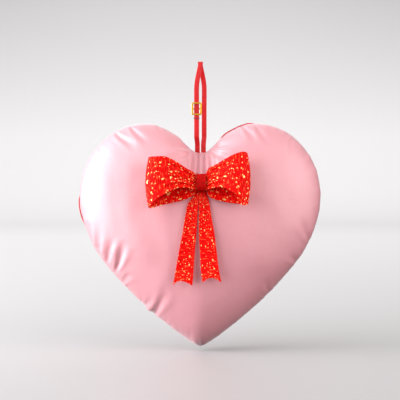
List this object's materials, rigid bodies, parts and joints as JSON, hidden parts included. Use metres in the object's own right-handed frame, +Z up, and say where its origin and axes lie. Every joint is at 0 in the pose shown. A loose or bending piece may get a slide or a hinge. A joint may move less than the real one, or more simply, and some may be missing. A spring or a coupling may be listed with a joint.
{
  "type": "heart cushion ornament",
  "caption": "Stuffed satin heart that hangs from a narrow ribbon loop with a slider buckle, with a ribbon bow and two swallow-tailed ribbon ends on its front.",
  "frame": {"origin": "centre of the hook seat, the round inside of the ribbon loop's top bight, where a hook, nail or peg carries the ornament", "axes": "+X is the axis of the hook seat and the heart's width, +Z is up along the heart's height, and the front with the bow faces -Y"},
  "size_m": [0.2994, 0.1283, 0.3509],
  "materials": {
    "strap_ribbon": "satin",
    "gold_metal": "polished",
    "red_thread": "matte",
    "pink_satin": "satin",
    "fibre": "matte",
    "piping_cord": "satin",
    "pink_thread": "matte",
    "bow_ribbon": "satin"
  },
  "bodies": {
    "strap": {"hanging_strap": "strap_ribbon"},
    "slider": {"strap_slider": "gold_metal", "strap_end_fold": "strap_ribbon", "strap_end_stitches": "red_thread"},
    "heart": {"front_panel": "pink_satin", "back_panel": "pink_satin", "fibre_filling": "fibre", "seam_piping": "piping_cord", "seam_thread": "pink_thread", "closing_stitches": "pink_thread", "strap_root_tabs": "strap_ribbon", "strap_root_stitches": "red_thread", "bow_loop_left": "bow_ribbon", "bow_loop_right": "bow_ribbon", "bow_knot": "bow_ribbon", "bow_tie_thread": "red_thread", "bow_tail_fold": "bow_ribbon", "bow_tack_stitches": "red_thread"},
    "left_tail": {"bow_tail_left": "bow_ribbon"},
    "right_tail": {"bow_tail_right": "bow_ribbon"}
  },
  "joints": [
    {"name": "slider_slide", "type": "slide", "parent": "strap", "child": "slider", "axis": [0, 0, 1], "range_m": [-0.016, 0.016]},
    {"name": "heart_swing", "type": "hinge", "parent": "strap", "child": "heart", "pos_m": [0, 0, -0.1015], "axis": [1, 0, 0], "range_deg": [-60, 60]},
    {"name": "left_tail_lift", "type": "hinge", "parent": "heart", "child": "left_tail", "pos_m": [0, -0.0487, -0.1556], "axis": [-1, 0, 0], "range_deg": [0, 80]},
    {"name": "right_tail_lift", "type": "hinge", "parent": "heart", "child": "right_tail", "pos_m": [0, -0.0487, -0.1556], "axis": [-1, 0, 0], "range_deg": [0, 80]}
  ]
}
